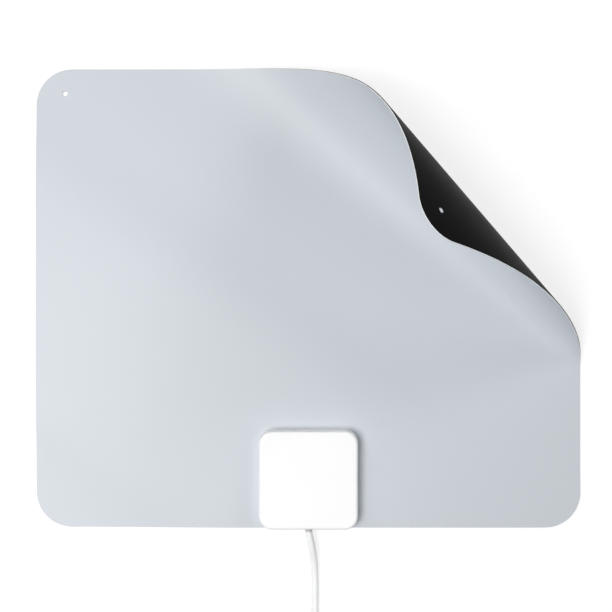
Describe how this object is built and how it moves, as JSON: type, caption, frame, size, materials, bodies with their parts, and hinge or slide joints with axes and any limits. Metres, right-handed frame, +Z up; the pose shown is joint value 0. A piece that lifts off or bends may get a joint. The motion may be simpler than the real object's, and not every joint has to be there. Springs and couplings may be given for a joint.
{
  "type": "flat sheet television antenna",
  "caption": "Thin flexible sheet antenna with a curled corner, pale front and black back, a square housing at its edge and a coiled coaxial cord with a screw-on plug.",
  "frame": {"origin": "on the table, under the middle of the flat sheet", "axes": "+X to the right along the sheet's width, +Y away from the cord's side, +Z up out of the sheet's front"},
  "size_m": [0.335, 0.4088, 0.1091],
  "materials": {
    "front_film": "satin pale grey film",
    "rear_film": "satin black film",
    "foil": "bright foil",
    "housing_white": "fine matt moulding",
    "housing_black": "fine matt moulding",
    "board": "solder mask",
    "ferrite": "sintered",
    "copper_wire": "enamelled wire",
    "chips": "moulded chips",
    "spring_bronze": "rolled strip",
    "steel": "zinc plated",
    "braid": "tinned braid",
    "dielectric": "foamed plastic",
    "cord_white": "soft jacket",
    "plug_metal": "nickel plated"
  },
  "bodies": {
    "root": {"front_film": "front_film", "rear_film": "rear_film", "element_left": "foil", "element_right": "foil", "front_cover": "housing_white", "rear_cover": "housing_black", "circuit_board": "board", "balun_core": "ferrite", "balun_windings": "copper_wire", "chip_components": "chips", "contact_spring_left": "spring_bronze", "contact_spring_right": "spring_bronze", "cover_screws": "steel", "cord_clamp": "dielectric", "clamp_screws": "steel", "coax_dielectric": "dielectric", "coax_braid": "braid", "coax_conductor": "copper_wire", "cord": "cord_white", "cord_coil": "cord_white", "coil_tie": "cord_white", "cord_tail": "cord_white", "connector_boot": "cord_white", "connector_body": "plug_metal", "connector_insulator": "dielectric", "connector_pin": "copper_wire"},
    "nut": {"connector_nut": "plug_metal"}
  },
  "joints": [
    {"name": "nut_spin", "type": "hinge", "parent": "root", "child": "nut", "pos_m": [0.0866, -0.2616, 0.0055], "axis": [1, 0, 0], "continuous": true}
  ]
}
